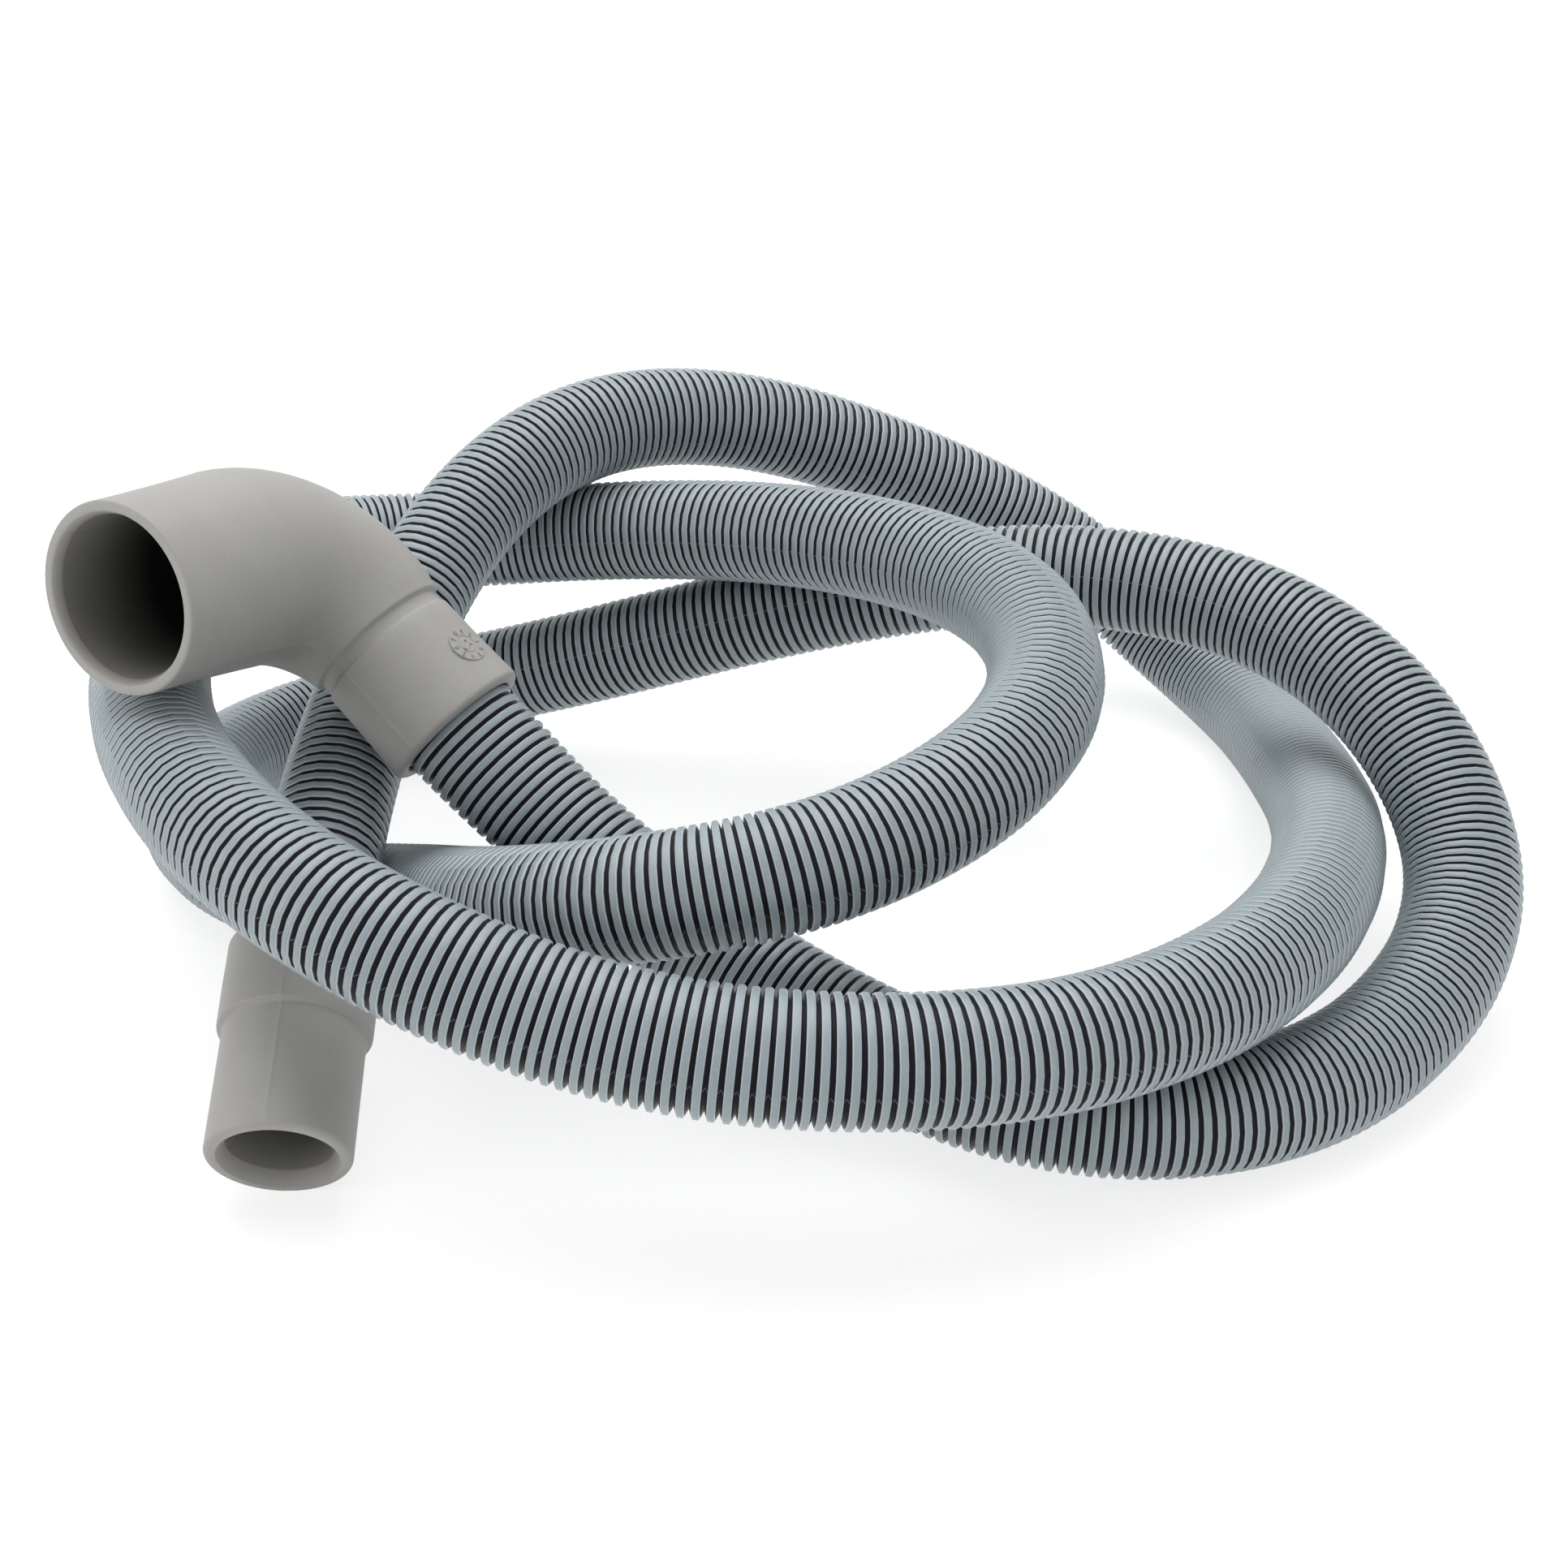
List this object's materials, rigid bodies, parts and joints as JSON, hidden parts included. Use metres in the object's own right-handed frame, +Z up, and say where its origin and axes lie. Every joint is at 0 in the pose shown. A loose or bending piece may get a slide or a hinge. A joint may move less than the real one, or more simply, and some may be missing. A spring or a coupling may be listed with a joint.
{
  "type": "washing machine drain hose",
  "caption": "Corrugated drain hose lying in loose turns, with a right-angle rubber socket at one end and a straight rubber cuff at the other.",
  "frame": {"origin": "on the floor, under the middle of the box round the two connectors", "axes": "+Z up from the floor, +X to the right of the picture, +Y away from the viewer"},
  "size_m": [0.3176, 0.2674, 0.1232],
  "materials": {
    "hose_plastic": "semi-matte blue-grey polypropylene",
    "connector_rubber": "matte warm-grey rubber"
  },
  "bodies": {
    "root": {"drain_hose": "hose_plastic", "elbow_connector": "connector_rubber", "straight_cuff": "connector_rubber"}
  },
  "joints": []
}
